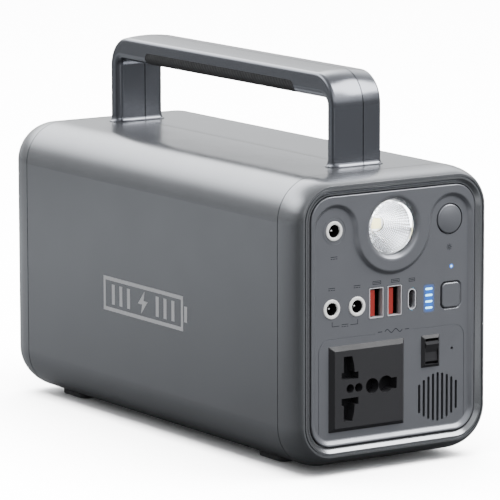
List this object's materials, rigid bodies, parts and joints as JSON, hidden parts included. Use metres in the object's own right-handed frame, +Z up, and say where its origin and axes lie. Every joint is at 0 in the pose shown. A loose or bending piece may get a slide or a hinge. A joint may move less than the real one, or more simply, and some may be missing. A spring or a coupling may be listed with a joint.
{
  "type": "portable power station",
  "caption": "Box-shaped portable power station with a carry handle, a torch, low voltage ports, a mains socket, buttons and a rocker switch on its front.",
  "frame": {"origin": "on the ground under the middle of the housing", "axes": "+Z up, front panel towards -Y, +X to the right seen from the front"},
  "size_m": [0.11, 0.2574, 0.1821],
  "materials": {
    "housing": "satin gunmetal metallic paint",
    "frame_coat": "satin gunmetal metallic paint",
    "handle_coat": "satin gunmetal metallic paint",
    "grip_rubber": "soft ribbed black rubber",
    "foot_rubber": "matte black rubber",
    "panel_plastic": "fine matte grey",
    "rear_plastic": "fine matte dark grey",
    "socket_plastic": "semi-matte charcoal",
    "shutter_plastic": "matte black",
    "button_plastic": "satin grey",
    "switch_plastic": "matte black",
    "ring_plastic": "gloss white",
    "jack_plastic": "matte black",
    "tongue_plastic": "orange-red",
    "usb_c_plastic": "matte black",
    "plated_steel": "bright nickel plate",
    "screw_steel": "zinc plate",
    "contact_brass": "plain",
    "lens_clear": "clear polished",
    "reflector_chrome": "mirror coat",
    "led_yellow": "phosphor",
    "display_glass": "tinted gloss",
    "display_blue": "lit blue",
    "status_blue": "lit pale blue",
    "light_pipe": "unlit smoked",
    "board_green": "solder mask",
    "board_aluminium": "plain",
    "cell_wrap": "shrink sleeve",
    "holder_plastic": "matte black",
    "nickel": "plain nickel",
    "chip_black": "moulded",
    "ferrite": "sintered",
    "copper_winding": "enamelled copper wire",
    "capacitor_sleeve": "shrink sleeve",
    "sink_aluminium": "extruded",
    "terminal_plastic": "moulded",
    "lead_red": "silicone",
    "lead_black": "silicone",
    "fan_plastic": "moulded black"
  },
  "bodies": {
    "housing": {"left_shell": "housing", "right_shell": "housing", "front_frame": "frame_coat", "rear_frame": "frame_coat", "frame_screws": "screw_steel", "front_panel": "panel_plastic", "rear_panel": "rear_plastic", "rear_panel_screws": "screw_steel", "handle_left": "handle_coat", "handle_right": "handle_coat", "grip_insert": "grip_rubber", "handle_screws": "screw_steel", "feet": "foot_rubber", "foot_screws": "screw_steel", "torch_lens": "lens_clear", "torch_reflector": "reflector_chrome", "torch_board": "board_aluminium", "torch_chip": "led_yellow", "light_switch": "switch_plastic", "power_switch": "switch_plastic", "gauge_window": "display_glass", "gauge_bars": "display_blue", "status_light": "status_blue", "pin_light": "light_pipe", "dc_jack_rings": "ring_plastic", "dc_jack_bodies": "jack_plastic", "dc_jack_pins": "plated_steel", "usb_a_shells": "plated_steel", "usb_a_tongues": "tongue_plastic", "usb_a_contacts": "contact_brass", "usb_c_shell": "plated_steel", "usb_c_tongue": "usb_c_plastic", "front_board": "board_green", "board_screws": "screw_steel", "socket_body": "socket_plastic", "socket_shutters": "shutter_plastic", "socket_contacts": "contact_brass", "rocker_bezel": "socket_plastic", "rocker_terminals": "contact_brass", "fan_frame": "fan_plastic", "fan_screws": "screw_steel", "cells": "cell_wrap", "cell_holder_lower": "holder_plastic", "cell_holder_upper": "holder_plastic", "nickel_strips": "nickel", "bms_board": "board_green", "bms_parts": "chip_black", "inverter_board": "board_green", "transformer_core": "ferrite", "transformer_winding": "copper_winding", "capacitors": "capacitor_sleeve", "heat_sinks": "sink_aluminium", "terminal_block": "terminal_plastic", "lead_positive": "lead_red", "lead_negative": "lead_black"},
    "light_key": {"light_button": "button_plastic"},
    "power_key": {"power_button": "button_plastic"},
    "rocker": {"rocker_paddle": "socket_plastic"},
    "fan": {"fan_impeller": "fan_plastic"}
  },
  "joints": [
    {"name": "light_button_press", "type": "slide", "parent": "housing", "child": "light_key", "axis": [0, 1, 0], "range_m": [0, 0.0008], "stiffness_N_per_m": 800, "springref_m": -0.001},
    {"name": "power_button_press", "type": "slide", "parent": "housing", "child": "power_key", "axis": [0, 1, 0], "range_m": [0, 0.0008], "stiffness_N_per_m": 800, "springref_m": -0.001},
    {"name": "rocker_tilt", "type": "hinge", "parent": "housing", "child": "rocker", "pos_m": [0.0218, -0.12425, 0.05275], "axis": [1, 0, 0], "range_deg": [-18, 0]},
    {"name": "fan_spin", "type": "hinge", "parent": "housing", "child": "fan", "pos_m": [0, 0.11705, 0.088], "axis": [0, 1, 0], "continuous": true}
  ]
}
